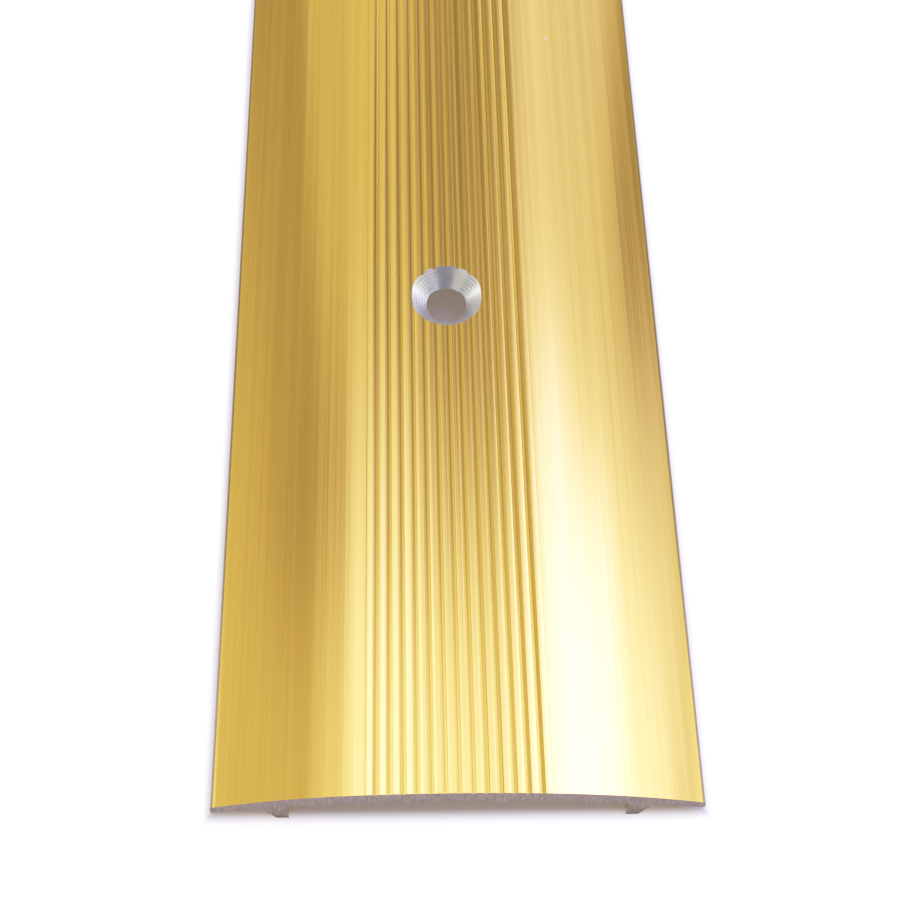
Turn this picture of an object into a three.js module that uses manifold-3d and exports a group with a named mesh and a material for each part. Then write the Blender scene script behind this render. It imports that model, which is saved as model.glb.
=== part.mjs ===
// A floor threshold strip with its fixings: an arched aluminium extrusion with a ribbed crown, two feet
// under it and five countersunk holes, and the countersunk screws that go through four of those holes
// into nylon wall plugs set in the floor. The first hole is open, as it is before its screw goes in.
//
// Millimetres. +Y runs along the strip, +X across it and +Z up. The origin is on the floor, under the
// middle of the strip.
import * as THREE from "three";
import { mergeVertices } from "three/addons/utils/BufferGeometryUtils.js";
import Module from "manifold-3d";

const wasm = await Module();
wasm.setup();

// ---- Driving dimensions ----------------------------------------------------------------------------

const STRIP_LENGTH = 900;
const STRIP_WIDTH = 40;
const STRIP_HEIGHT = 5.5; // floor to the crests of the ribs

// The upper surface: a flat crown arc under the ribs, then a tighter arc down each flank.
const CROWN_RADIUS = 100;
const FLANK_RADIUS = 47;
const FLANK_STEPS = 14;
const NOSE_RADIUS = 0.45; // the rounded upper edge of each long side
const NOSE_STEPS = 4;

// The ribs on the crown.
const RIB_COUNT = 14;
const RIB_PITCH = 1.105;
const RIB_TOP_WIDTH = 0.86; // the gently crowned top of a rib, between its shoulders
const RIB_CROWN = 0.02; // how far a rib's top falls from its crest to a shoulder
const RIB_TOP_STEPS = 4;
const SHOULDER_RADIUS = 0.05;
const SHOULDER_STEPS = 2;
const GROOVE_SLOPE = (38 * Math.PI) / 180; // the straight sides of the V grooves between the ribs
const BAND_SINK = 0.06; // how far the plain flanks lie below the crests

// The lower surface: one arc, with four low ribs and two feet.
const UNDER_CROWN = 3.8; // floor to the lower surface at the middle
const UNDER_RADIUS = 86;
const UNDER_STEPS = 20;
const LOW_RIB_CENTRES = [3.3, 11];
const LOW_RIB_WIDTH = 2;
const LOW_RIB_DEPTH = 0.4;
const FOOT_INNER = 13.75; // the upright inner side of each foot, from the middle
const FOOT_FLAT = 1; // the width of the sole
const FOOT_ROOT = 2.1; // the width where the foot joins the strip

// The fixing holes.
const HOLE_COUNT = 5;
const HOLE_END_DISTANCE = 48.5;
const HOLE_RADIUS = 1.9;
const SINK_RADIUS = 3.45; // the countersink's radius at the height of the rib crests
const SINK_SIDES = 48;
const FIRST_SCREWED_HOLE = 1; // hole 0 stays open

// The screws: 3.5 mm by 30 mm, countersunk at 90 degrees, with a cross recess.
const SCREW_LENGTH = 30;
const SCREW_RADIUS = 1.75; // over the thread
const SCREW_NECK_RADIUS = 1.45; // the plain neck under the head
const SCREW_NECK_LENGTH = 5;
const SCREW_TIP_LENGTH = 4;
const SCREW_HEAD_TOP = STRIP_HEIGHT - 0.15;
const SCREW_HEAD_GAP = 0.12; // clearance to the countersink, square to the axis
const SCREW_RIM = 0.25; // the upright edge round the head
const SCREW_SIDES = 32;
const RECESS_SPAN = 3.9;
const RECESS_WIDTH = 0.75;
const RECESS_DEPTH = 1.7;
const RECESS_CORE_RADIUS = 0.85;

// The wall plugs: 6 mm by 28 mm, set just below the floor.
const PLUG_RADIUS = 3;
const PLUG_LENGTH = 28;
const PLUG_TOP = -0.4;
const PLUG_BORE_RADIUS = 1.9;
const PLUG_BORE_DEPTH = 26;
const PLUG_TIP_RADIUS = 2.1;
const PLUG_TIP_LENGTH = 5;
const PLUG_SLOT_WIDTH = 0.8;
const PLUG_SLOT_FROM = 5; // below the mouth
const PLUG_SLOT_TO = 21;
const PLUG_SIDES = 32;

const MERGE_MM = 1e-4;

// ---- Materials -------------------------------------------------------------------------------------

const goldAnodised = new THREE.MeshStandardMaterial({ color: 0xcda349, roughness: 0.28, metalness: 1 });
const brassPlated = new THREE.MeshStandardMaterial({ color: 0xd8b45c, roughness: 0.3, metalness: 1 });
const greyNylon = new THREE.MeshStandardMaterial({ color: 0x9a9c9e, roughness: 0.6, metalness: 0 });

// ---- Solids: closed geometries joined and cut with manifold-3d ---------------------------------------

function solidOf(geometry) {
  const bare = geometry.clone();
  bare.deleteAttribute("normal");
  bare.deleteAttribute("uv");
  const merged = mergeVertices(bare, MERGE_MM);
  return new wasm.Manifold(
    new wasm.Mesh({
      numProp: 3,
      vertProperties: merged.attributes.position.array,
      triVerts: new Uint32Array(merged.index.array),
    }),
  );
}

function geometryOf(solid) {
  const made = solid.getMesh();
  const geometry = new THREE.BufferGeometry();
  geometry.setAttribute("position", new THREE.BufferAttribute(made.vertProperties, 3));
  geometry.setIndex(new THREE.BufferAttribute(made.triVerts, 1));
  geometry.computeVertexNormals();
  return geometry;
}

// A solid turned round the Z axis, from [radius, height] points that start and end on the axis and
// run from the bottom up.
function turned(points, sides) {
  const lathe = new THREE.LatheGeometry(
    points.map(([radius, height]) => new THREE.Vector2(radius, height)),
    sides,
  );
  return solidOf(lathe.rotateX(Math.PI / 2));
}

function box(sizeX, sizeY, sizeZ, centreZ) {
  return solidOf(new THREE.BoxGeometry(sizeX, sizeY, sizeZ).translate(0, 0, centreZ));
}

// ---- The strip's cross-section ---------------------------------------------------------------------

const ribZone = (RIB_COUNT * RIB_PITCH) / 2; // from the middle to the flank
const crownCentre = STRIP_HEIGHT - CROWN_RADIUS;
const flankStart = Math.asin(ribZone / CROWN_RADIUS);
const flankCentre = {
  x: (CROWN_RADIUS - FLANK_RADIUS) * Math.sin(flankStart),
  z: crownCentre + (CROWN_RADIUS - FLANK_RADIUS) * Math.cos(flankStart),
};

const crownHeight = (x) => crownCentre + Math.sqrt(CROWN_RADIUS ** 2 - x ** 2);
const underHeight = (x) => UNDER_CROWN - UNDER_RADIUS + Math.sqrt(UNDER_RADIUS ** 2 - x ** 2);

// One side of a rib from its crest out to a groove, as [distance from the rib's middle, drop below the
// crest]. It ends at the given drop, or at the bottom of the groove.
function ribSide(lowest) {
  const points = [];
  const edge = RIB_TOP_WIDTH / 2;
  for (let step = 0; step <= RIB_TOP_STEPS / 2; step++) {
    const share = step / (RIB_TOP_STEPS / 2);
    points.push([edge * share, RIB_CROWN * share ** 2]);
  }
  const start = Math.atan((2 * RIB_CROWN) / edge);
  for (let step = 1; step <= SHOULDER_STEPS; step++) {
    const slope = start + ((GROOVE_SLOPE - start) * step) / SHOULDER_STEPS;
    points.push([
      edge + SHOULDER_RADIUS * (Math.sin(slope) - Math.sin(start)),
      RIB_CROWN + SHOULDER_RADIUS * (Math.cos(start) - Math.cos(slope)),
    ]);
  }
  const [across, drop] = points[points.length - 1];
  const run = Math.min(RIB_PITCH / 2 - across, (lowest - drop) / Math.tan(GROOVE_SLOPE));
  points.push([across + run, drop + run * Math.tan(GROOVE_SLOPE)]);
  return points;
}

// The ribs of one half, from the middle groove out to the step down to the flank.
function halfRibs() {
  const points = [];
  const last = RIB_COUNT / 2 - 1;
  for (let rib = 0; rib <= last; rib++) {
    const middle = (rib + 0.5) * RIB_PITCH;
    const inner = ribSide(Infinity).reverse();
    const outer = ribSide(rib === last ? BAND_SINK : Infinity).slice(1);
    const sides = [...inner.map(([across, drop]) => [-across, drop]), ...outer];
    const first = rib === 0 ? 0 : 1; // the point in a groove belongs to the rib before it
    for (const [across, drop] of sides.slice(first)) {
      points.push([middle + across, crownHeight(middle + across) - drop]);
    }
  }
  return points;
}

// One flank, from the last rib over the rounded nose to the lower corner.
function halfFlank() {
  const points = [];
  const radius = FLANK_RADIUS - BAND_SINK;
  const noseX = STRIP_WIDTH / 2 - NOSE_RADIUS;
  const noseStart = Math.asin((noseX - flankCentre.x) / (radius - NOSE_RADIUS));
  const noseZ = flankCentre.z + (radius - NOSE_RADIUS) * Math.cos(noseStart);
  const first = Math.asin((ribZone - flankCentre.x) / radius);
  for (let step = 0; step < FLANK_STEPS; step++) {
    const angle = first + ((noseStart - first) * step) / FLANK_STEPS;
    points.push([flankCentre.x + radius * Math.sin(angle), flankCentre.z + radius * Math.cos(angle)]);
  }
  for (let step = 0; step <= NOSE_STEPS; step++) {
    const angle = noseStart + ((Math.PI / 2 - noseStart) * step) / NOSE_STEPS;
    points.push([noseX + NOSE_RADIUS * Math.sin(angle), noseZ + NOSE_RADIUS * Math.cos(angle)]);
  }
  points.push([STRIP_WIDTH / 2, underHeight(STRIP_WIDTH / 2)]);
  return points;
}

// Points along the lower surface from one x to another, without the first.
function underArc(fromX, toX) {
  const steps = Math.max(1, Math.round((UNDER_STEPS * Math.abs(fromX - toX)) / STRIP_WIDTH));
  return Array.from({ length: steps }, (_, step) => {
    const x = fromX + ((toX - fromX) * (step + 1)) / steps;
    return [x, underHeight(x)];
  });
}

// The lower surface of one half, from the outer corner in to the middle.
function halfUnderside() {
  const root = FOOT_INNER + FOOT_ROOT;
  const points = underArc(STRIP_WIDTH / 2, root);
  points.push([FOOT_INNER + FOOT_FLAT, 0], [FOOT_INNER, 0], [FOOT_INNER, underHeight(FOOT_INNER)]);
  let from = FOOT_INNER;
  for (const centre of [...LOW_RIB_CENTRES].reverse()) {
    const outer = centre + LOW_RIB_WIDTH / 2;
    const inner = centre - LOW_RIB_WIDTH / 2;
    points.push(...underArc(from, outer));
    points.push([outer, underHeight(outer) - LOW_RIB_DEPTH], [inner, underHeight(inner) - LOW_RIB_DEPTH]);
    points.push([inner, underHeight(inner)]);
    from = inner;
  }
  points.push(...underArc(from, 0));
  return points;
}

function stripSection() {
  const right = [...halfRibs(), ...halfFlank(), ...halfUnderside()];
  const left = right.slice(1, -1).reverse();
  const outline = [...right, ...left.map(([x, z]) => [-x, z])];
  return new THREE.Shape(outline.reverse().map(([x, z]) => new THREE.Vector2(x, z)));
}

// ---- The pieces ------------------------------------------------------------------------------------

function holePosition(index) {
  const pitch = (STRIP_LENGTH - 2 * HOLE_END_DISTANCE) / (HOLE_COUNT - 1);
  return -STRIP_LENGTH / 2 + HOLE_END_DISTANCE + index * pitch;
}

// What a drill and a 90 degree countersink take out, as one turned solid.
function countersink() {
  const margin = 1;
  const sinkDepth = SINK_RADIUS - HOLE_RADIUS;
  return turned(
    [
      [0, UNDER_CROWN - margin],
      [HOLE_RADIUS, UNDER_CROWN - margin],
      [HOLE_RADIUS, STRIP_HEIGHT - sinkDepth],
      [SINK_RADIUS + margin, STRIP_HEIGHT + margin],
      [0, STRIP_HEIGHT + margin],
    ],
    SINK_SIDES,
  );
}

function thresholdProfile() {
  const bar = new THREE.ExtrudeGeometry(stripSection(), { depth: STRIP_LENGTH, bevelEnabled: false });
  bar.rotateX(Math.PI / 2).translate(0, STRIP_LENGTH / 2, 0);
  let solid = solidOf(bar);
  for (let index = 0; index < HOLE_COUNT; index++) {
    solid = solid.subtract(countersink().translate([0, holePosition(index), 0]));
  }
  return geometryOf(solid);
}

function fixingScrew() {
  const headRadius = SINK_RADIUS - (STRIP_HEIGHT - SCREW_HEAD_TOP) - SCREW_HEAD_GAP;
  const headDepth = headRadius - SCREW_NECK_RADIUS;
  const neckEnd = SCREW_HEAD_TOP - SCREW_NECK_LENGTH;
  const tip = SCREW_HEAD_TOP - SCREW_LENGTH;
  const body = turned(
    [
      [0, tip],
      [SCREW_RADIUS, tip + SCREW_TIP_LENGTH],
      [SCREW_RADIUS, neckEnd - (SCREW_RADIUS - SCREW_NECK_RADIUS)],
      [SCREW_NECK_RADIUS, neckEnd],
      [SCREW_NECK_RADIUS, SCREW_HEAD_TOP - headDepth],
      [headRadius - SCREW_RIM, SCREW_HEAD_TOP - SCREW_RIM],
      [headRadius - SCREW_RIM, SCREW_HEAD_TOP],
      [0, SCREW_HEAD_TOP],
    ],
    SCREW_SIDES,
  );
  const margin = 0.5;
  const depth = RECESS_DEPTH + margin;
  const centre = SCREW_HEAD_TOP + margin - depth / 2;
  const core = turned(
    [
      [0, SCREW_HEAD_TOP - RECESS_DEPTH - RECESS_CORE_RADIUS / 2],
      [RECESS_CORE_RADIUS, SCREW_HEAD_TOP - RECESS_DEPTH],
      [RECESS_CORE_RADIUS, SCREW_HEAD_TOP + margin],
      [0, SCREW_HEAD_TOP + margin],
    ],
    SCREW_SIDES / 2,
  );
  const recess = box(RECESS_SPAN, RECESS_WIDTH, depth, centre)
    .add(box(RECESS_WIDTH, RECESS_SPAN, depth, centre))
    .add(core);
  return geometryOf(body.subtract(recess));
}

function wallPlug() {
  const bottom = PLUG_TOP - PLUG_LENGTH;
  const boreBottom = PLUG_TOP - PLUG_BORE_DEPTH;
  const body = turned(
    [
      [0, bottom],
      [PLUG_TIP_RADIUS, bottom],
      [PLUG_RADIUS, bottom + PLUG_TIP_LENGTH],
      [PLUG_RADIUS, PLUG_TOP],
      [PLUG_BORE_RADIUS, PLUG_TOP],
      [PLUG_BORE_RADIUS, boreBottom + PLUG_BORE_RADIUS],
      [0, boreBottom],
    ],
    PLUG_SIDES,
  );
  const slotLength = PLUG_SLOT_TO - PLUG_SLOT_FROM;
  const slotCentre = PLUG_TOP - (PLUG_SLOT_FROM + PLUG_SLOT_TO) / 2;
  const across = 2 * PLUG_RADIUS + 1;
  const slots = box(across, PLUG_SLOT_WIDTH, slotLength, slotCentre).add(
    box(PLUG_SLOT_WIDTH, across, slotLength, slotCentre),
  );
  return geometryOf(body.subtract(slots));
}

// ---- The assembly ----------------------------------------------------------------------------------

const assembly = new THREE.Group();

function place(name, geometry, material, y) {
  const mesh = new THREE.Mesh(geometry, material);
  mesh.name = name;
  mesh.position.y = y;
  assembly.add(mesh);
}

place("threshold_profile", thresholdProfile(), goldAnodised, 0);
const screw = fixingScrew();
const plug = wallPlug();
for (let index = FIRST_SCREWED_HOLE; index < HOLE_COUNT; index++) {
  place(`fixing_screw_${index + 1}`, screw, brassPlated, holePosition(index));
  place(`wall_plug_${index + 1}`, plug, greyNylon, holePosition(index));
}

export default assembly;
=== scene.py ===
"""Looks for the floor threshold strip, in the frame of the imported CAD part. Lengths are in millimetres
and become metres where Blender takes them. +Y runs along the strip, +X across it and +Z up, as in the CAD."""

import math

import bpy
import numpy as np
from mathutils import Matrix, Vector


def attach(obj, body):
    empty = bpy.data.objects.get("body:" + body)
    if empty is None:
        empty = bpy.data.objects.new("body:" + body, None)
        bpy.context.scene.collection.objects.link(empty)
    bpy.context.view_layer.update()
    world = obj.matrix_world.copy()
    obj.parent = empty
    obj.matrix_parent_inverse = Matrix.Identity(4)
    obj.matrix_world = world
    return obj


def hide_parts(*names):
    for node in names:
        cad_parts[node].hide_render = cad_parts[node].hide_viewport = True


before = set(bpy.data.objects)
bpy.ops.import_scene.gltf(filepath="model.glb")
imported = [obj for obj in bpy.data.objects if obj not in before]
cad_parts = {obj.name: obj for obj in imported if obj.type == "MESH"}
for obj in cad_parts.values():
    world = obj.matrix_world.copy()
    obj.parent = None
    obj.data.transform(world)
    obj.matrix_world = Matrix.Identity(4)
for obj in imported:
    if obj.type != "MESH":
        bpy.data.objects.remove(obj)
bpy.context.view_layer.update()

MM = 0.001

# ---- Dimensions, the same as the CAD part's ----------------------------------------------------------

STRIP_LENGTH = 900
STRIP_WIDTH = 40
STRIP_HEIGHT = 5.5
CROWN_RADIUS = 100
FLANK_RADIUS = 47
NOSE_RADIUS = 0.45
RIB_COUNT = 14
RIB_PITCH = 1.105
UNDER_CROWN = 3.8
UNDER_RADIUS = 86
LOW_RIB_CENTRES = (11, 3.3)
LOW_RIB_WIDTH = 2
LOW_RIB_DEPTH = 0.4
FOOT_INNER = 13.75
FOOT_FLAT = 1
FOOT_ROOT = 2.1
HOLE_COUNT = 5
HOLE_END_DISTANCE = 48.5
HOLE_RADIUS = 1.9
SINK_RADIUS = 3.45

FIRST_SCREWED_HOLE = 1

SCREW_LENGTH = 30
SCREW_RADIUS = 1.75
SCREW_NECK_RADIUS = 1.45
SCREW_TIP_LENGTH = 4
SCREW_HEAD_TOP = STRIP_HEIGHT - 0.15
SCREW_HEAD_GAP = 0.12
SCREW_RIM = 0.25
SCREW_TIP = SCREW_HEAD_TOP - SCREW_LENGTH
RECESS_SPAN = 3.9
RECESS_WIDTH = 0.75
RECESS_DEPTH = 1.7

PLUG_RADIUS = 3
PLUG_LENGTH = 28
PLUG_TOP = -0.4
PLUG_BORE_RADIUS = 1.9
PLUG_BORE_DEPTH = 26
PLUG_TIP_RADIUS = 2.1
PLUG_TIP_LENGTH = 5
PLUG_SLOT_WIDTH = 0.8
PLUG_SLOT_FROM = 5
PLUG_SLOT_TO = 21

# ---- Dimensions of this script's own -------------------------------------------------------------------

# A rib's section, which has other numbers than the CAD part's and a chamfer that it lacks: a nearly flat
# top, a rounded shoulder, a shallow chamfer that ends at CHAMFER_REACH from the rib's middle, and a groove.
BAND_SINK = 0.02  # how far the plain flanks lie below the crests
RIB_TOP_WIDTH = 0.50
RIB_CROWN = 0.003
SHOULDER_RADIUS = 0.08
CHAMFER_SLOPE = math.radians(26)
CHAMFER_REACH = 0.46
GROOVE_SLOPE = math.radians(30)

# How far from a groove's bottom its painted shade reaches, and is full, as shares of the pitch.
GROOVE_SHADE_REACH = 0.14
GROOVE_SHADE_FULL = GROOVE_SHADE_REACH / 4

# The thread of a screw, which is a plain shank in the CAD part.
THREAD_PITCH = 1.5
THREAD_CORE = 1.15
THREAD_TOP = 0
THREAD_FLANK = 0.3  # half a ridge's width as a share of the pitch
THREAD_FULLNESS = 1.25  # over 1, so a ridge is cut off flat at the screw's radius
TIP_RADIUS = 0.03
TIP_STOUTNESS = 0.3  # how far past the tip the core's taper would end
NECK_RISE = 0.3  # from the top of the thread to the plain neck

# The eased edges of a screw's head, as (distance in from the rim, height over the rim's foot or its top).
HEAD_RIM_FOOT = ((0.04, -0.04), (0, 0.03))
HEAD_RIM_TOP = ((0, -0.08), (0.03, -0.03), (0.09, 0))

# The cross recess narrows to this share of its span and width, and its cutter stands over the head.
RECESS_BOTTOM_SPAN = 0.40
RECESS_BOTTOM_WIDTH = 0.7
RECESS_CUTTER_SPAN = 1.1
RECESS_CUTTER_RISE = 0.5

# The saw teeth and the eased edges of a plug. Heights of the mouth's details are measured down from it.
PLUG_TOOTH_PITCH = 1.25
PLUG_TOOTH_DEPTH = 0.3
PLUG_TOOTH_FROM = 0.15  # a tooth widens between these shares of the pitch
PLUG_TOOTH_TO = 0.85
PLUG_NOSE_EDGE = 0.25
PLUG_TOOTH_END = 0.2  # from the last tooth to the plain body
PLUG_COLLAR_FOOT = 1.2
PLUG_COLLAR = 0.9
PLUG_MOUTH_EDGE = 0.15
PLUG_BORE_EDGE = 0.3
PLUG_DRILL_POINT_LENGTH = 1.5
PLUG_DRILL_POINT_RADIUS = 0.1

HOLE_STRETCH = 6  # the strip's mesh has a joint this far to each side of a hole
CUTTER_MARGIN = 1  # how far a cutter stands out of what it cuts

# How finely the meshes follow their curves.
RIB_TOP_STEPS = 4
SHOULDER_STEPS = 6
FLANK_STEPS = 48
NOSE_STEPS = 8
UNDER_STEP = 0.7
HOLE_SIDES = 144
SCREW_SIDES = 48
THREAD_STEPS = 12
PLUG_SIDES = 48

# The long edges take a brown painted shade between these distances from the middle, standing in for the dark
# that their rounded noses reflect.
EDGE_SHADE_START = 19.62
EDGE_SHADE_FULL = 19.80

SHARP_TURN = math.radians(24)  # where the outline turns by more than this, its corner stays sharp
SHARP_FIXING_TURN = math.radians(32)  # the same for the screws and plugs


# ---- The camera --------------------------------------------------------------------------------------

CAMERA_PLACE = (-4.04, -494.31, 132.10)
CAMERA_PITCH = math.radians(59.06)  # below the horizon
CAMERA_YAW = math.radians(1.21)  # to the right of the strip's direction
CAMERA_ROLL = math.radians(0.55)
CAMERA_LENS = 66.66
CAMERA_SHIFT = 0.03  # as a share of the picture's width


def add_camera():
    data = bpy.data.cameras.new("main_camera")
    data.sensor_width = 36
    data.lens = CAMERA_LENS
    data.shift_x = CAMERA_SHIFT
    data.clip_start = 0.01
    data.clip_end = 50
    camera = bpy.data.objects.new("main_camera", data)
    bpy.context.scene.collection.objects.link(camera)
    turn = (
        Matrix.Rotation(-CAMERA_YAW, 4, "Z")
        @ Matrix.Rotation(math.pi / 2 - CAMERA_PITCH, 4, "X")
        @ Matrix.Rotation(CAMERA_ROLL, 4, "Z")
    )
    camera.matrix_world = Matrix.Translation(Vector(CAMERA_PLACE) * MM) @ turn
    bpy.context.scene.camera = camera


# ---- Mesh helpers ------------------------------------------------------------------------------------


def link(name, mesh):
    thing = bpy.data.objects.new(name, mesh)
    bpy.context.scene.collection.objects.link(thing)
    return thing


def mesh_from(name, points, faces):
    mesh = bpy.data.meshes.new(name)
    mesh.from_pydata([Vector(p) * MM for p in points], [], faces)
    mesh.validate()
    return mesh


def stack_faces(rings, sides, first=0):
    """The sides between neighbouring rings of points, and a cap on the first and the last ring. The first
    ring starts at the point numbered first."""
    faces = []
    for ring in range(rings - 1):
        for side in range(sides):
            a = first + ring * sides + side
            b = first + ring * sides + (side + 1) % sides
            faces.append((a, b, b + sides, a + sides))
    last = first + (rings - 1) * sides
    faces.append(tuple(reversed(range(first, first + sides))))
    faces.append(tuple(range(last, last + sides)))
    return faces


# ---- The strip's cross-section -----------------------------------------------------------------------

RIB_ZONE = RIB_COUNT * RIB_PITCH / 2
CROWN_CENTRE = STRIP_HEIGHT - CROWN_RADIUS
FLANK_START = math.asin(RIB_ZONE / CROWN_RADIUS)
FLANK_X = (CROWN_RADIUS - FLANK_RADIUS) * math.sin(FLANK_START)
FLANK_Z = CROWN_CENTRE + (CROWN_RADIUS - FLANK_RADIUS) * math.cos(FLANK_START)


def crown_height(x):
    return CROWN_CENTRE + math.sqrt(CROWN_RADIUS**2 - x * x)


def under_height(x):
    return UNDER_CROWN - UNDER_RADIUS + math.sqrt(UNDER_RADIUS**2 - x * x)


def rib_side(lowest):
    """One side of a rib, as (distance from its middle, drop below its crest), from the crest to the given
    drop or to the bottom of the groove."""
    edge = RIB_TOP_WIDTH / 2
    shares = [2 * step / RIB_TOP_STEPS for step in range(RIB_TOP_STEPS // 2 + 1)]
    points = [(edge * share, RIB_CROWN * share**2) for share in shares]
    start = math.atan(2 * RIB_CROWN / edge)
    for step in range(1, SHOULDER_STEPS + 1):
        slope = start + (CHAMFER_SLOPE - start) * step / SHOULDER_STEPS
        across = edge + SHOULDER_RADIUS * (math.sin(slope) - math.sin(start))
        points.append((across, RIB_CROWN + SHOULDER_RADIUS * (math.cos(start) - math.cos(slope))))
    for end, slope in ((CHAMFER_REACH, CHAMFER_SLOPE), (RIB_PITCH / 2, GROOVE_SLOPE)):
        across, drop = points[-1]
        run = min(end - across, (lowest - drop) / math.tan(slope))
        if run > 0:
            points.append((across + run, drop + run * math.tan(slope)))
    return points


def half_ribs():
    points = []
    last = RIB_COUNT // 2 - 1
    for rib in range(last + 1):
        middle = (rib + 0.5) * RIB_PITCH
        inner = [(-across, drop) for across, drop in reversed(rib_side(math.inf))]
        outer = rib_side(BAND_SINK if rib == last else math.inf)[1:]
        first = 0 if rib == 0 else 1
        for across, drop in (inner + outer)[first:]:
            points.append((middle + across, crown_height(middle + across) - drop))
    return points


def half_flank():
    radius = FLANK_RADIUS - BAND_SINK
    nose_x = STRIP_WIDTH / 2 - NOSE_RADIUS
    nose_start = math.asin((nose_x - FLANK_X) / (radius - NOSE_RADIUS))
    nose_z = FLANK_Z + (radius - NOSE_RADIUS) * math.cos(nose_start)
    points = []
    first = math.asin((RIB_ZONE - FLANK_X) / radius)
    for step in range(FLANK_STEPS):
        angle = first + (nose_start - first) * step / FLANK_STEPS
        points.append((FLANK_X + radius * math.sin(angle), FLANK_Z + radius * math.cos(angle)))
    for step in range(NOSE_STEPS + 1):
        angle = nose_start + (math.pi / 2 - nose_start) * step / NOSE_STEPS
        points.append((nose_x + NOSE_RADIUS * math.sin(angle), nose_z + NOSE_RADIUS * math.cos(angle)))
    points.append((STRIP_WIDTH / 2, under_height(STRIP_WIDTH / 2)))
    return points


def under_arc(start, end):
    """Points along the lower surface from one x to another, without the first."""
    steps = max(1, round(abs(start - end) / UNDER_STEP))
    along = [start + (end - start) * (step + 1) / steps for step in range(steps)]
    return [(x, under_height(x)) for x in along]


def half_underside():
    points = under_arc(STRIP_WIDTH / 2, FOOT_INNER + FOOT_ROOT)
    points += [(FOOT_INNER + FOOT_FLAT, 0), (FOOT_INNER, 0), (FOOT_INNER, under_height(FOOT_INNER))]
    start = FOOT_INNER
    for centre in LOW_RIB_CENTRES:
        outer, inner = centre + LOW_RIB_WIDTH / 2, centre - LOW_RIB_WIDTH / 2
        points += under_arc(start, outer)
        points += [(x, under_height(x) - LOW_RIB_DEPTH) for x in (outer, inner)]
        points.append((inner, under_height(inner)))
        start = inner
    return points + under_arc(start, 0)


def strip_section():
    """The closed outline, clockwise as seen from the near end."""
    right = half_ribs() + half_flank() + half_underside()
    left = [(-x, z) for x, z in reversed(right[1:-1])]
    return right + left


# ---- The strip ---------------------------------------------------------------------------------------


def hole_place(index):
    pitch = (STRIP_LENGTH - 2 * HOLE_END_DISTANCE) / (HOLE_COUNT - 1)
    return -STRIP_LENGTH / 2 + HOLE_END_DISTANCE + index * pitch


def bar_mesh(section):
    """The section run along Y, with a joint to each side of every hole, to keep the facets there short."""
    stations = [-STRIP_LENGTH / 2, STRIP_LENGTH / 2]
    for index in range(HOLE_COUNT):
        stations += [hole_place(index) - HOLE_STRETCH, hole_place(index) + HOLE_STRETCH]
    stations.sort()
    count = len(section)
    points = [(x, y, z) for y in stations for x, z in section]
    faces = [tuple(range(count)), tuple(reversed(range(len(points) - count, len(points))))]
    for ring in range(len(stations) - 1):
        for side in range(count):
            a, b = ring * count + side, ring * count + (side + 1) % count
            faces.append((b, a, a + count, b + count))
    return mesh_from("threshold_strip", points, faces)


def cutter_mesh():
    """The drill and countersink of every hole, as one mesh of separate turned solids."""
    profile = [
        (HOLE_RADIUS, UNDER_CROWN - 2 * CUTTER_MARGIN),
        (HOLE_RADIUS, STRIP_HEIGHT - SINK_RADIUS + HOLE_RADIUS),
        (SINK_RADIUS + CUTTER_MARGIN, STRIP_HEIGHT + CUTTER_MARGIN),
    ]
    points, faces = [], []
    for index in range(HOLE_COUNT):
        first = len(points)
        for radius, height in profile:
            for side in range(HOLE_SIDES):
                angle = 2 * math.pi * side / HOLE_SIDES
                points.append(
                    (radius * math.cos(angle), hole_place(index) + radius * math.sin(angle), height)
                )
        faces += stack_faces(len(profile), HOLE_SIDES, first)
    return mesh_from("hole_cutter", points, faces)


SAWN, TURNED = 1, 2  # places among the strip's materials, after the gold


def drilled(bar, materials):
    """The bar with its holes cut; the faces of a hole take the turned material."""
    thing = link("threshold_strip", bar)
    cutting = cutter_mesh()
    for mesh in (bar, cutting):
        for material in materials:
            mesh.materials.append(material)
    for polygon in cutting.polygons:
        polygon.material_index = TURNED
    cut_away(thing, cutting)
    return thing


def section_normals(section):
    """For each side of the outline, the smooth normals at its two ends."""
    outline = np.array(section, float)
    along = np.roll(outline, -1, 0) - outline
    along /= np.linalg.norm(along, axis=1)[:, None]
    facing = np.stack([-along[:, 1], along[:, 0]], 1)
    before = np.roll(facing, 1, 0)
    turn = np.arccos(np.clip((facing * before).sum(1), -1, 1))
    mean = facing + before
    mean /= np.linalg.norm(mean, axis=1)[:, None]
    smooth = turn < SHARP_TURN
    start = np.where(smooth[:, None], mean, facing)
    end = np.where(np.roll(smooth, -1)[:, None], np.roll(mean, -1, 0), facing)
    return outline, start, end


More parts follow.
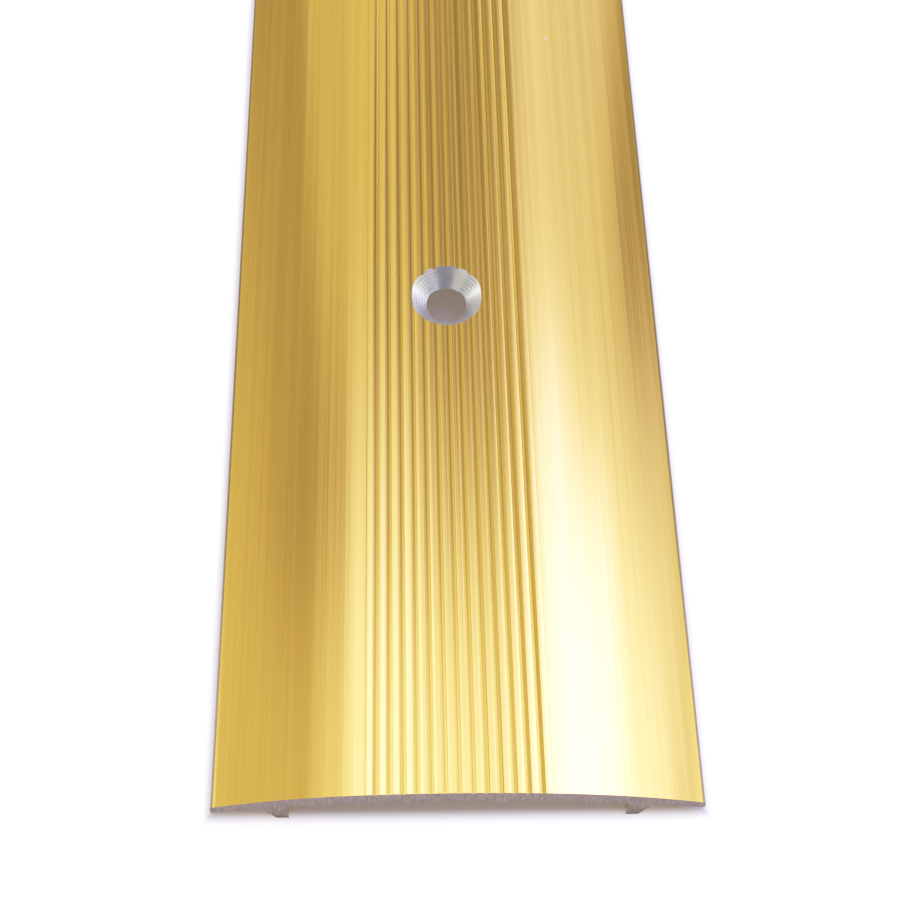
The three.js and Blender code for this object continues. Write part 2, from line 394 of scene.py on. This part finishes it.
def shade_strip(mesh, section):
    """Exact normals from the section and the holes, where an average over long facets would be uneven."""
    outline, start, end = section_normals(section)
    following = np.roll(outline, -1, 0)
    sides = following - outline
    lengths = (sides**2).sum(1)
    holes = np.array([hole_place(index) for index in range(HOLE_COUNT)])
    normals = np.zeros((len(mesh.loops), 3))
    for polygon in mesh.polygons:
        loops = list(polygon.loop_indices)
        places = np.array([mesh.vertices[mesh.loops[i].vertex_index].co for i in loops]) / MM
        if polygon.material_index == TURNED:
            hole_y = holes[np.abs(holes - places[0, 1]).argmin()]
            outward = places[:, :2] - (0, hole_y)
            outward /= np.linalg.norm(outward, axis=1)[:, None]
            lift = round(polygon.normal.z, 1)  # 0 in the bore and 0.7 in the countersink
            flat = -outward * math.sqrt(max(0, 1 - lift * lift))
            normals[loops] = np.column_stack([flat, np.full(len(loops), lift)])
        elif abs(polygon.normal.y) > 0.9:
            normals[loops] = polygon.normal
            polygon.material_index = SAWN
        else:
            centre = places.mean(0)[[0, 2]]
            share = np.clip(((centre - outline) * sides).sum(1) / lengths, 0, 1)
            gap = np.linalg.norm(outline + share[:, None] * sides - centre, axis=1)
            nearest = gap.argmin()
            part = ((places[:, [0, 2]] - outline[nearest]) @ sides[nearest]) / lengths[nearest]
            part = np.clip(part, 0, 1)[:, None]
            mixed = start[nearest] * (1 - part) + end[nearest] * part
            mixed /= np.linalg.norm(mixed, axis=1)[:, None]
            normals[loops] = np.column_stack([mixed[:, 0], np.zeros(len(loops)), mixed[:, 1]])
    for polygon in mesh.polygons:
        polygon.use_smooth = True
    mesh.normals_split_custom_set([tuple(n) for n in normals])


def add_hole_places(mesh):
    """Each point's place from the axis of the nearest hole, in metres, which the turned rings follow."""
    places = np.array([v.co for v in mesh.vertices])
    holes = np.array([hole_place(index) * MM for index in range(HOLE_COUNT)])
    nearest = holes[np.abs(places[:, 1:2] - holes).argmin(1)]
    places[:, 1] -= nearest
    attribute = mesh.attributes.new("from_hole", "FLOAT_VECTOR", "POINT")
    attribute.data.foreach_set("vector", places.astype(np.float32).ravel())


def add_strip():
    section = strip_section()
    materials = [gold_material(), shaded_sawn_end_material(), turned_material()]
    thing = drilled(bar_mesh(section), materials)
    shade_strip(thing.data, section)
    add_hole_places(thing.data)
    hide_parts("threshold_profile")
    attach(thing, "strip_and_plugs")


# ---- The screws and the wall plugs ---------------------------------------------------------------------


def lathe(name, rows, sides):
    """A closed solid of rings joined in order, from the foot up and, for a bore, down again inside. Each row
    is (radius, height), and a radius may be a function of the angle."""
    points = []
    for radius, height in rows:
        for side in range(sides):
            angle = 2 * math.pi * side / sides
            reach = radius(angle) if callable(radius) else radius
            points.append((reach * math.cos(angle), reach * math.sin(angle), height))
    return mesh_from(name, points, stack_faces(len(rows), sides))


def thread_radius(height):
    """The radius of the threaded shank at one height, as a function of the angle round it."""
    above_tip = height - SCREW_TIP
    narrowing = min(1, above_tip / SCREW_TIP_LENGTH)
    fading = max(0, min(1, (THREAD_TOP - height) / THREAD_PITCH))

    def radius(angle):
        phase = (height / THREAD_PITCH - angle / (2 * math.pi)) % 1
        ridge = max(0, 1 - abs(phase - 0.5) / THREAD_FLANK)
        core = THREAD_CORE * min(1, (above_tip + TIP_STOUTNESS) / SCREW_TIP_LENGTH)
        return core + (SCREW_RADIUS * narrowing - core) * fading * min(1, THREAD_FULLNESS * ridge)

    return radius


def screw_mesh():
    steps = round((THREAD_TOP - SCREW_TIP) / THREAD_PITCH * THREAD_STEPS)
    heights = [SCREW_TIP + (THREAD_TOP - SCREW_TIP) * step / steps for step in range(steps + 1)]
    rows = [(TIP_RADIUS, heights[0])] + [(thread_radius(height), height) for height in heights[1:]]
    head_radius = SINK_RADIUS - (STRIP_HEIGHT - SCREW_HEAD_TOP) - SCREW_HEAD_GAP - SCREW_RIM
    rim = SCREW_HEAD_TOP - SCREW_RIM
    rows.append((SCREW_NECK_RADIUS, THREAD_TOP + NECK_RISE))
    rows.append((SCREW_NECK_RADIUS, rim - head_radius + SCREW_NECK_RADIUS))
    rows += [(head_radius - inward, rim + rise) for inward, rise in HEAD_RIM_FOOT]
    rows += [(head_radius - inward, SCREW_HEAD_TOP + rise) for inward, rise in HEAD_RIM_TOP]
    return lathe("countersunk_screw", rows, SCREW_SIDES)


def cross_mesh(name, levels):
    """A cross-shaped solid from the bottom up, with (span, width, height) at each level."""
    points = []
    for span, width, height in levels:
        far, near = span / 2, width / 2
        arm = [(near, near), (near, far), (-near, far)]
        for turn in range(4):
            cos, sin = round(math.cos(turn * math.pi / 2)), round(math.sin(turn * math.pi / 2))
            points += [(x * cos - y * sin, x * sin + y * cos, height) for x, y in arm]
    return mesh_from(name, points, stack_faces(len(levels), len(points) // len(levels)))


def recess_mesh():
    """The cutter of the cross recess, which narrows towards its bottom."""
    top = SCREW_HEAD_TOP
    levels = [
        (RECESS_SPAN * RECESS_BOTTOM_SPAN, RECESS_WIDTH * RECESS_BOTTOM_WIDTH, top - RECESS_DEPTH),
        (RECESS_SPAN, RECESS_WIDTH, top),
        (RECESS_SPAN * RECESS_CUTTER_SPAN, RECESS_WIDTH, top + RECESS_CUTTER_RISE),
    ]
    return cross_mesh("recess_cutter", levels)


def plug_mesh():
    """A ribbed sleeve: saw-tooth rings outside, a plain mouth, a narrowing nose and a blind bore."""
    bottom = PLUG_TOP - PLUG_LENGTH
    height = bottom + PLUG_NOSE_EDGE
    rows = [(PLUG_TIP_RADIUS - PLUG_NOSE_EDGE, bottom), (PLUG_TIP_RADIUS, height)]
    while height < PLUG_TOP - PLUG_SLOT_FROM + PLUG_TOOTH_PITCH:
        tip_share = min(1, (height + PLUG_TOOTH_PITCH - bottom) / PLUG_TIP_LENGTH)
        crest = PLUG_TIP_RADIUS + (PLUG_RADIUS - PLUG_TIP_RADIUS) * tip_share
        rows.append((crest - PLUG_TOOTH_DEPTH, height + PLUG_TOOTH_FROM * PLUG_TOOTH_PITCH))
        rows.append((crest, height + PLUG_TOOTH_TO * PLUG_TOOTH_PITCH))
        height += PLUG_TOOTH_PITCH
    body = PLUG_RADIUS - PLUG_TOOTH_DEPTH
    mouth = PLUG_TOP
    bore_end = mouth - PLUG_BORE_DEPTH
    rows += [(body, height + PLUG_TOOTH_END), (body, mouth - PLUG_COLLAR_FOOT)]
    rows += [(PLUG_RADIUS, mouth - PLUG_COLLAR), (PLUG_RADIUS, mouth - PLUG_MOUTH_EDGE)]
    rows += [(PLUG_RADIUS - PLUG_MOUTH_EDGE, mouth), (PLUG_BORE_RADIUS + PLUG_BORE_EDGE, mouth)]
    rows += [(PLUG_BORE_RADIUS, mouth - PLUG_BORE_EDGE)]
    rows += [(PLUG_BORE_RADIUS, bore_end + PLUG_DRILL_POINT_LENGTH), (PLUG_DRILL_POINT_RADIUS, bore_end)]
    return lathe("nylon_plug", rows, PLUG_SIDES)


def plug_slots_mesh():
    """The cutter of the two slits that cross each other through the plug."""
    top, bottom = PLUG_TOP - PLUG_SLOT_FROM, PLUG_TOP - PLUG_SLOT_TO
    across = 2 * PLUG_RADIUS + CUTTER_MARGIN
    return cross_mesh("slot_cutter", [(across, PLUG_SLOT_WIDTH, bottom), (across, PLUG_SLOT_WIDTH, top)])


def cut_away(thing, cutting):
    """Takes the cutting mesh's solid out of the thing's mesh, for good, and returns the new mesh."""
    cutter = link("cutter", cutting)
    modifier = thing.modifiers.new("cut", "BOOLEAN")
    modifier.operation = "DIFFERENCE"
    modifier.solver = "EXACT"
    modifier.object = cutter
    depsgraph = bpy.context.evaluated_depsgraph_get()
    mesh = bpy.data.meshes.new_from_object(thing.evaluated_get(depsgraph))
    thing.modifiers.clear()
    thing.data = mesh
    bpy.data.objects.remove(cutter)
    return mesh


def cut_and_shaded(mesh, cutting, material):
    """A mesh with its cut made, its edges sharp where it turns sharply, and its material on."""
    thing = link(mesh.name, mesh)
    mesh.materials.append(material)
    cutting.materials.append(material)
    cut = cut_away(thing, cutting)
    bpy.data.objects.remove(thing)
    for polygon in cut.polygons:
        polygon.use_smooth = True
    cut.set_sharp_from_angle(angle=SHARP_FIXING_TURN)
    return cut


def add_fixings():
    screw = cut_and_shaded(screw_mesh(), recess_mesh(), brass_material())
    plug = cut_and_shaded(plug_mesh(), plug_slots_mesh(), nylon_material())
    for index in range(FIRST_SCREWED_HOLE, HOLE_COUNT):
        number = index + 1
        for name, mesh, node, finish, body in (
            ("countersunk_screw", screw, "fixing_screw", "brass_plated_steel", f"screw_{number}"),
            ("nylon_plug", plug, "wall_plug", "grey_nylon", "strip_and_plugs"),
        ):
            thing = link(f"{name}_{number}", mesh.copy())
            thing.location.y = hole_place(index) * MM
            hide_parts(f"{node}_{number}")
            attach(thing, body)


# ---- Materials ---------------------------------------------------------------------------------------


class Nodes:
    """A short way to write a node tree: each call adds a node, sets its values and joins its inputs."""

    def __init__(self, tree):
        self.tree = tree
        tree.nodes.clear()

    def add(self, kind, inputs=(), **settings):
        node = self.tree.nodes.new(kind)
        for key, value in settings.items():
            setattr(node, key, value)
        for key, value in dict(inputs).items():
            socket = node.inputs[key]
            if isinstance(value, bpy.types.NodeSocket):
                self.tree.links.new(value, socket)
            else:
                socket.default_value = value
        return node

    def maths(self, operation, first, second=0.0, third=0.0):
        return self.add("ShaderNodeMath", {0: first, 1: second, 2: third}, operation=operation).outputs[0]

    def spread(self, value, low, high, to_low, to_high):
        inputs = {"Value": value, "From Min": low, "From Max": high, "To Min": to_low, "To Max": to_high}
        return self.add("ShaderNodeMapRange", inputs).outputs[0]

    def step(self, value, low, high):
        """0 below low and 1 above high, or the other way round, with a smooth change between."""
        inputs = {"Value": value, "From Min": low, "From Max": high}
        return self.add("ShaderNodeMapRange", inputs, interpolation_type="SMOOTHSTEP").outputs[0]

    def ramp(self, value, stops):
        node = self.add("ShaderNodeValToRGB", {"Fac": value})
        elements = node.color_ramp.elements
        while len(elements) < len(stops):
            elements.new(0.5)
        for element, (position, colour) in zip(elements, stops):
            element.position = position
            element.color = (*colour, 1)
        return node.outputs["Color"]

    def noise(self, place, scale, detail):
        inputs = {"Vector": place, "Scale": scale, "Detail": detail, "Roughness": 0.5}
        return self.add("ShaderNodeTexNoise", inputs).outputs["Fac"]

    def stretched(self, place, scale):
        return self.add("ShaderNodeMapping", {"Vector": place, "Scale": scale}).outputs[0]

    def blend(self, share, first, second):
        inputs = {"Factor": share, 6: first, 7: second}
        return self.add("ShaderNodeMix", inputs, data_type="RGBA").outputs[2]

    def bump(self, height, distance, normal=None):
        inputs = {"Height": height, "Distance": distance, "Strength": 1.0}
        if normal is not None:
            inputs["Normal"] = normal
        return self.add("ShaderNodeBump", inputs).outputs[0]

    def surface(self, **inputs):
        named = {key.replace("_", " "): value for key, value in inputs.items()}
        shader = self.add("ShaderNodeBsdfPrincipled", named)
        self.add("ShaderNodeOutputMaterial", {"Surface": shader.outputs[0]})

    def distance_from_axis(self, place):
        """How far the place is from its own Z axis."""
        apart = self.add("ShaderNodeSeparateXYZ", {0: place})
        across, along = apart.outputs[0], apart.outputs[1]
        square = self.maths("MULTIPLY_ADD", across, across, self.maths("MULTIPLY", along, along))
        return self.maths("SQRT", square)


def new_material(name):
    material = bpy.data.materials.new(name)
    material.use_nodes = True
    return material, Nodes(material.node_tree)


def groove_shade_share(nodes, across):
    """How much painted shade a place takes: one at the bottom of each groove between the ribs, and zero on
    the ribs and the plain bands.
    """
    turns = nodes.maths("FRACT", nodes.maths("MULTIPLY_ADD", across, 1 / (RIB_PITCH * MM), 0.5))
    away = nodes.maths("ABSOLUTE", nodes.maths("SUBTRACT", turns, 0.5))
    last = (RIB_ZONE - RIB_PITCH / 2) * MM
    on_ribs = nodes.step(nodes.maths("ABSOLUTE", across), last, last - 0.1 * MM)
    return nodes.maths("MULTIPLY", nodes.step(away, GROOVE_SHADE_REACH, GROOVE_SHADE_FULL), on_ribs)


GOLD_DEEP = (0.82, 0.525, 0.094)
GOLD_PALE = (0.95, 0.61, 0.122)
# The next colour is painted shade: the gold darkened in the grooves, where shade falls.
GOLD_SHADED_IN_GROOVES = (0.60, 0.39, 0.085, 1)
SPECK_COLOUR = (0.95, 0.88, 0.62, 1)
# The next colour is brown painted shade along the long edges.
EDGE_PAINTED_SHADE = (0.15, 0.115, 0.07, 1)


def gold_material():
    """Bright gold anodising over an extruded surface, with die lines along the strip, a few specks,
    painted shade in the grooves and brown painted shade along the long edges."""
    material, nodes = new_material("gold")
    place = nodes.add("ShaderNodeTexCoord").outputs["Object"]
    broad = nodes.noise(nodes.stretched(place, (900, 3, 900)), 1, 2)
    middle = nodes.noise(nodes.stretched(place, (2600, 12, 2600)), 1, 2)
    fine = nodes.noise(nodes.stretched(place, (9000, 9, 9000)), 1, 3)
    mixed = nodes.maths("MULTIPLY_ADD", middle, 0.5, nodes.maths("MULTIPLY", broad, 0.5))
    gold_colour = nodes.ramp(mixed, [(0.35, GOLD_DEEP), (0.65, GOLD_PALE)])
    speck = nodes.add("ShaderNodeTexVoronoi", {"Vector": place, "Scale": 90.0}).outputs["Distance"]
    gold_colour = nodes.blend(nodes.step(speck, 0.022, 0.012), gold_colour, SPECK_COLOUR)
    across = nodes.add("ShaderNodeSeparateXYZ", {0: place}).outputs[0]
    # Painted shade in the grooves between the ribs.
    gold_colour = nodes.blend(groove_shade_share(nodes, across), gold_colour, GOLD_SHADED_IN_GROOVES)
    # Painted shade along the long edges, where the rounded noses would reflect dark surroundings.
    edge_shade = nodes.step(nodes.maths("ABSOLUTE", across), EDGE_SHADE_START * MM, EDGE_SHADE_FULL * MM)
    waves = nodes.bump(broad, 0.000014)
    nodes.surface(
        Base_Color=nodes.blend(edge_shade, gold_colour, EDGE_PAINTED_SHADE),
        Metallic=1.0,
        Roughness=nodes.spread(fine, 0.3, 0.7, 0.13, 0.22),
        Normal=nodes.bump(fine, 0.000001, waves),
        Coat_Weight=0.35,
        Coat_Roughness=0.12,
    )
    return material


def shaded_sawn_end_material():
    """A sawn end: dull grey-brown oxidised metal with upright saw marks, darkened further as painted shade.
    """
    material, nodes = new_material("sawn_with_painted_shade")
    place = nodes.add("ShaderNodeTexCoord").outputs["Object"]
    marks = nodes.noise(nodes.stretched(place, (5000, 500, 700)), 1, 3)
    nodes.surface(
        # These colours are partly the oxide of the cut metal and partly painted shade, darker than a lit cut
        # end.
        Base_Color=nodes.ramp(marks, [(0.3, (0.117, 0.086, 0.060)), (0.7, (0.216, 0.164, 0.115))]),
        Metallic=0.35,
        Roughness=0.55,
        Specular_IOR_Level=0.2,
        Normal=nodes.bump(marks, 0.00002),
    )
    return material


# Turned rings go round as a sine of the distance from the axis: radians to the metre.
SINK_RINGS = 26000.0
HEAD_RINGS = 42000.0


def turned_material():
    """Bare aluminium as the countersink leaves it, in fine rings round the hole."""
    material, nodes = new_material("turned")
    place = nodes.add("ShaderNodeAttribute", attribute_name="from_hole").outputs["Vector"]
    radius = nodes.distance_from_axis(place)
    wobble = nodes.noise(place, 900, 2)
    turn = nodes.maths("MULTIPLY_ADD", radius, SINK_RINGS, nodes.maths("MULTIPLY", wobble, 6.0))
    rings = nodes.maths("SINE", turn)
    nodes.surface(
        Base_Color=nodes.ramp(wobble, [(0.3, (0.64, 0.63, 0.51)), (0.7, (0.74, 0.73, 0.60))]),
        Metallic=0.72,
        Roughness=0.26,
        Normal=nodes.bump(rings, 0.000003),
    )
    return material


def brass_material():
    """Brass plating with fine turned rings round the screw's axis, and browner patches."""
    material, nodes = new_material("brass")
    place = nodes.add("ShaderNodeTexCoord").outputs["Object"]
    patches = nodes.noise(place, 700, 3)
    rings = nodes.maths("SINE", nodes.maths("MULTIPLY", nodes.distance_from_axis(place), HEAD_RINGS))
    grain = nodes.noise(place, 9000, 2)
    nodes.surface(
        Base_Color=nodes.ramp(patches, [(0.3, (0.62, 0.42, 0.13)), (0.65, (0.86, 0.64, 0.24))]),
        Metallic=1.0,
        Roughness=nodes.spread(grain, 0.3, 0.7, 0.20, 0.36),
        Normal=nodes.bump(nodes.maths("MULTIPLY_ADD", rings, 0.5, grain), 0.000004),
    )
    return material


def nylon_material():
    """Moulded grey nylon: slightly waxy, with a fine grain."""
    material, nodes = new_material("nylon")
    place = nodes.add("ShaderNodeTexCoord").outputs["Object"]
    cloud = nodes.noise(place, 400, 3)
    grain = nodes.noise(place, 8000, 2)
    nodes.surface(
        Base_Color=nodes.ramp(cloud, [(0.3, (0.29, 0.30, 0.31)), (0.7, (0.37, 0.38, 0.39))]),
        Roughness=nodes.spread(grain, 0.3, 0.7, 0.42, 0.58),
        Normal=nodes.bump(grain, 0.000008),
        Subsurface_Weight=0.05,
        Subsurface_Scale=0.001,
    )
    return material


# ---- Floor, light and sky ----------------------------------------------------------------------------

# The floor's glow sets in between these two distances out from the edges of the strip, beside it and at its
# ends, and leaves a painted shadow inside them. Less than zero is under the strip.
SIDE_SHADE = (-0.25, 1.4)
END_SHADE = (-0.7, 1.3)
FLOOR_REACH = 4000
# The floor's colour and glow in the painted shadow, and its glow outside it.
SHADED_GREY = (0.2, 0.2, 0.2, 1)
FLOOR_GLOW = (1.2, 1.2, 1.2, 1)
SHADED_GLOW = (0.22, 0.18, 0.152, 1)


def add_floor():
    """A white floor that glows like a light table, except under the strip and just round it, where its glow
    and colour fall into a painted shadow.
    """
    corners = [(x * FLOOR_REACH, y * FLOOR_REACH, 0) for x, y in ((-1, -1), (1, -1), (1, 1), (-1, 1))]
    mesh = mesh_from("floor", corners, [(0, 1, 2, 3)])
    floor = link("floor", mesh)
    material, nodes = new_material("floor_white")
    place = nodes.add("ShaderNodeTexCoord").outputs["Object"]
    apart = nodes.add("ShaderNodeSeparateXYZ", {0: place})
    steps = []
    edges = ((STRIP_WIDTH / 2, SIDE_SHADE), (STRIP_LENGTH / 2, END_SHADE))
    for value, (half, (start, end)) in zip(apart.outputs, edges):
        steps.append(nodes.step(nodes.maths("ABSOLUTE", value), (half + start) * MM, (half + end) * MM))
    grain = nodes.noise(place, 60, 2)
    pale = nodes.ramp(grain, [(0.3, (0.84, 0.85, 0.86)), (0.7, (0.86, 0.87, 0.88))])
    clear = nodes.maths("MAXIMUM", *steps)
    # Painted shadow: the floor's colour and glow fall to the shaded values under and round the strip.
    nodes.surface(
        Base_Color=nodes.blend(clear, SHADED_GREY, pale),
        Roughness=0.9,
        Emission_Color=nodes.blend(clear, SHADED_GLOW, FLOOR_GLOW),
        Emission_Strength=1.0,
        Specular_IOR_Level=0.0,
    )
    mesh.materials.append(material)


# The studio, as soft-edged boxes of light in the sky, on top of a weak even light and a white band near the
# horizon. A box is bounded in the X and Y of the direction towards it: (low X, high X, X edge softness,
# low Y, high Y, Y edge softness, strength, colour). A bound at PAST leaves that side open.
WARM = (1.0, 0.97, 0.92)
COOL = (0.95, 1.0, 2.3)
MILD = (1.0, 1.0, 1.5)
WHITEST = (0.95, 1.0, 3.2)
PAST = 1.2
AMBIENT = 0.08
HORIZON = 1.1
HORIZON_BAND = (0.36, 0.28)  # the Z of the direction where the band fades in, and where it is full
SOFTBOXES = [
    (-PAST, PAST, 0.10, -0.60, PAST, 0.20, 0.22, WARM),
    (-PAST, -0.33, 0.16, -PAST, -0.60, 0.20, 0.46, WARM),
    (0.42, PAST, 0.16, -PAST, -0.60, 0.20, 0.24, WARM),
    (-PAST, -0.71, 0.06, 0.22, 0.42, 0.14, 1.40, MILD),
    (0.71, PAST, 0.04, 0.22, 0.42, 0.14, 1.40, MILD),
    (-PAST, -0.66, 0.08, 0.40, 0.54, 0.08, 0.30, WARM),
    (0.68, PAST, 0.08, 0.40, 0.54, 0.08, 0.30, WARM),
    (-PAST, -0.54, 0.06, 0.58, PAST, 0.10, 0.08, WARM),
    (0.58, PAST, 0.06, 0.58, PAST, 0.10, 0.10, WARM),
    (0.17, 0.27, 0.03, 0.57, PAST, 0.10, 0.22, COOL),
    (-0.66, -0.01, 0.10, -0.60, PAST, 0.10, 0.10, WARM),
    (-0.335, -0.01, 0.04, -0.60, PAST, 0.10, 0.08, WARM),
    (-0.76, -0.40, 0.08, 0.50, 0.72, 0.10, 0.10, WARM),
    (0.15, 0.53, 0.06, -0.60, PAST, 0.10, 0.18, WARM),
    (-0.76, -0.50, 0.12, -0.60, 0.53, 0.30, 0.36, WARM),
    (-0.50, 0.62, 0.10, -0.60, 0.42, 0.16, 0.34, WARM),
    (-0.335, -0.275, 0.02, 0.57, PAST, 0.10, 0.34, WARM),
    (-0.275, -0.01, 0.05, 0.57, PAST, 0.14, 0.20, WARM),
    (-0.19, -0.02, 0.05, 0.50, PAST, 0.14, 0.16, WARM),
    (-0.32, -0.16, 0.06, -0.60, 0.43, 0.16, 0.26, COOL),
    (-0.16, 0.66, 0.12, -0.35, 0.46, 0.26, 1.05, COOL),
    (-0.19, -0.04, 0.06, -0.35, 0.52, 0.26, 1.20, COOL),
    (0.17, 0.49, 0.05, 0.20, PAST, 0.20, 0.25, COOL),
    (0.18, 0.50, 0.14, 0.20, PAST, 0.20, 0.20, COOL),
    (0.50, 0.70, 0.08, -0.60, 0.57, 0.12, 0.32, COOL),
    (0.215, 0.31, 0.05, -0.30, 0.56, 0.10, 1.60, WHITEST),
    (0.30, 0.47, 0.07, -0.30, 0.47, 0.12, 1.60, WHITEST),
]


def softbox(nodes, across, along, box):
    """The light of one box, whose edges are centred on its bounds."""
    low_x, high_x, soft_x, low_y, high_y, soft_y, strength, colour = box
    inside = strength
    for value, low, high, soft in ((across, low_x, high_x, soft_x), (along, low_y, high_y, soft_y)):
        for edge, sign in ((low, 1), (high, -1)):
            start, end = edge - sign * soft / 2, edge + sign * soft / 2
            inside = nodes.maths("MULTIPLY", inside, nodes.step(value, start, end))
    shade = nodes.add("ShaderNodeBackground", {"Color": (*colour, 1), "Strength": inside})
    return shade.outputs[0]


def add_lights():
    world = bpy.data.worlds.new("studio")
    world.use_nodes = True
    bpy.context.scene.world = world
    nodes = Nodes(world.node_tree)
    way = nodes.add("ShaderNodeTexCoord").outputs["Generated"]
    apart = nodes.add("ShaderNodeSeparateXYZ", {0: way})
    total = nodes.add("ShaderNodeBackground", {"Color": (*WARM, 1), "Strength": AMBIENT}).outputs[0]
    low = nodes.maths("MULTIPLY", nodes.step(apart.outputs[2], *HORIZON_BAND), HORIZON)
    wall = nodes.add("ShaderNodeBackground", {"Color": (1, 1, 1, 1), "Strength": low}).outputs[0]
    total = nodes.add("ShaderNodeAddShader", {0: total, 1: wall}).outputs[0]
    for box in SOFTBOXES:
        shade = softbox(nodes, apart.outputs[0], apart.outputs[1], box)
        total = nodes.add("ShaderNodeAddShader", {0: total, 1: shade}).outputs[0]
    nodes.add("ShaderNodeOutputWorld", {"Surface": total})


# How the scene's light becomes brightness in the picture, which rises steeply and then rolls off to white:
# (scene level as a share of WHITE_LEVEL, picture level).
WHITE_LEVEL = 1.6
SHOULDER = [(0.1875, 0.305), (0.293, 0.497), (0.469, 0.730), (0.6875, 0.895), (0.848, 0.965)]


def set_display():
    view = bpy.context.scene.view_settings
    view.view_transform = "Standard"
    view.use_curve_mapping = True
    view.curve_mapping.white_level = (WHITE_LEVEL,) * 3
    all_colours = view.curve_mapping.curves[3]
    for place, level in SHOULDER:
        all_colours.points.new(place, level)
    view.curve_mapping.update()


# ---- All together ------------------------------------------------------------------------------------

set_display()
add_camera()
add_strip()
add_fixings()
add_floor()
add_lights()
